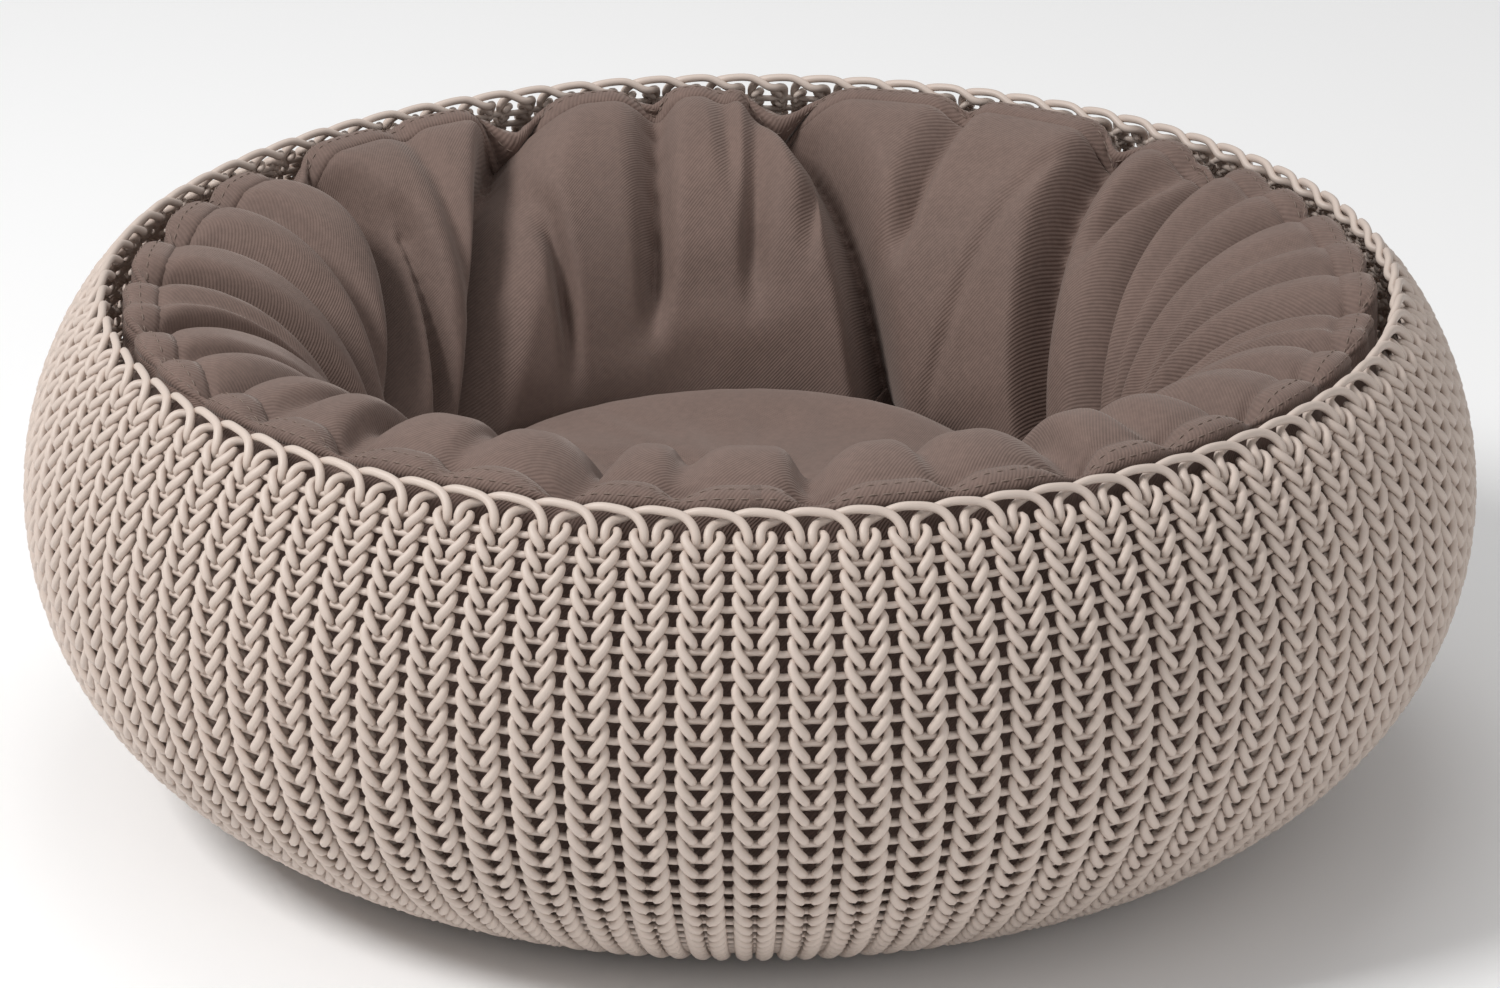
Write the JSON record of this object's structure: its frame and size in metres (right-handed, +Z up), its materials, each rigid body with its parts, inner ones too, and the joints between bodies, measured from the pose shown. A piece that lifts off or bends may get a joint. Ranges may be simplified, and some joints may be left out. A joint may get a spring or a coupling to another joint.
{
  "type": "pet bed basket",
  "caption": "Round, low pet basket with an open knit-pattern wall, a looped rim, a gathered nest cushion that lifts out and a loose base pad.",
  "frame": {"origin": "centre of the basket's underside, on the surface it stands on", "axes": "+Z up through the open top, front towards -Y, +X to the right seen from the front"},
  "size_m": [0.51, 0.51, 0.1835],
  "materials": {
    "knit_plastic": "satin",
    "brown_twill": "fine diagonal twill with a soft sheen",
    "fibre_filling": "loose white fibre"
  },
  "bodies": {
    "basket": {"basket_wall": "knit_plastic", "rim_edging": "knit_plastic", "basket_floor": "knit_plastic"},
    "nest": {"nest_inner_cover": "brown_twill", "nest_wall_filling": "fibre_filling", "nest_outer_cover": "brown_twill", "nest_top_hem": "brown_twill", "nest_floor_cover": "brown_twill", "nest_floor_filling": "fibre_filling", "nest_base_cover": "brown_twill"},
    "pad": {"pad_top_cover": "brown_twill", "pad_bottom_cover": "brown_twill", "pad_filling": "fibre_filling"}
  },
  "joints": [
    {"name": "nest_lift", "type": "slide", "parent": "basket", "child": "nest", "axis": [0, 0, 1], "range_m": [0, 0.25]},
    {"name": "pad_lift", "type": "slide", "parent": "nest", "child": "pad", "axis": [0, 0, 1], "range_m": [0, 0.18]}
  ]
}
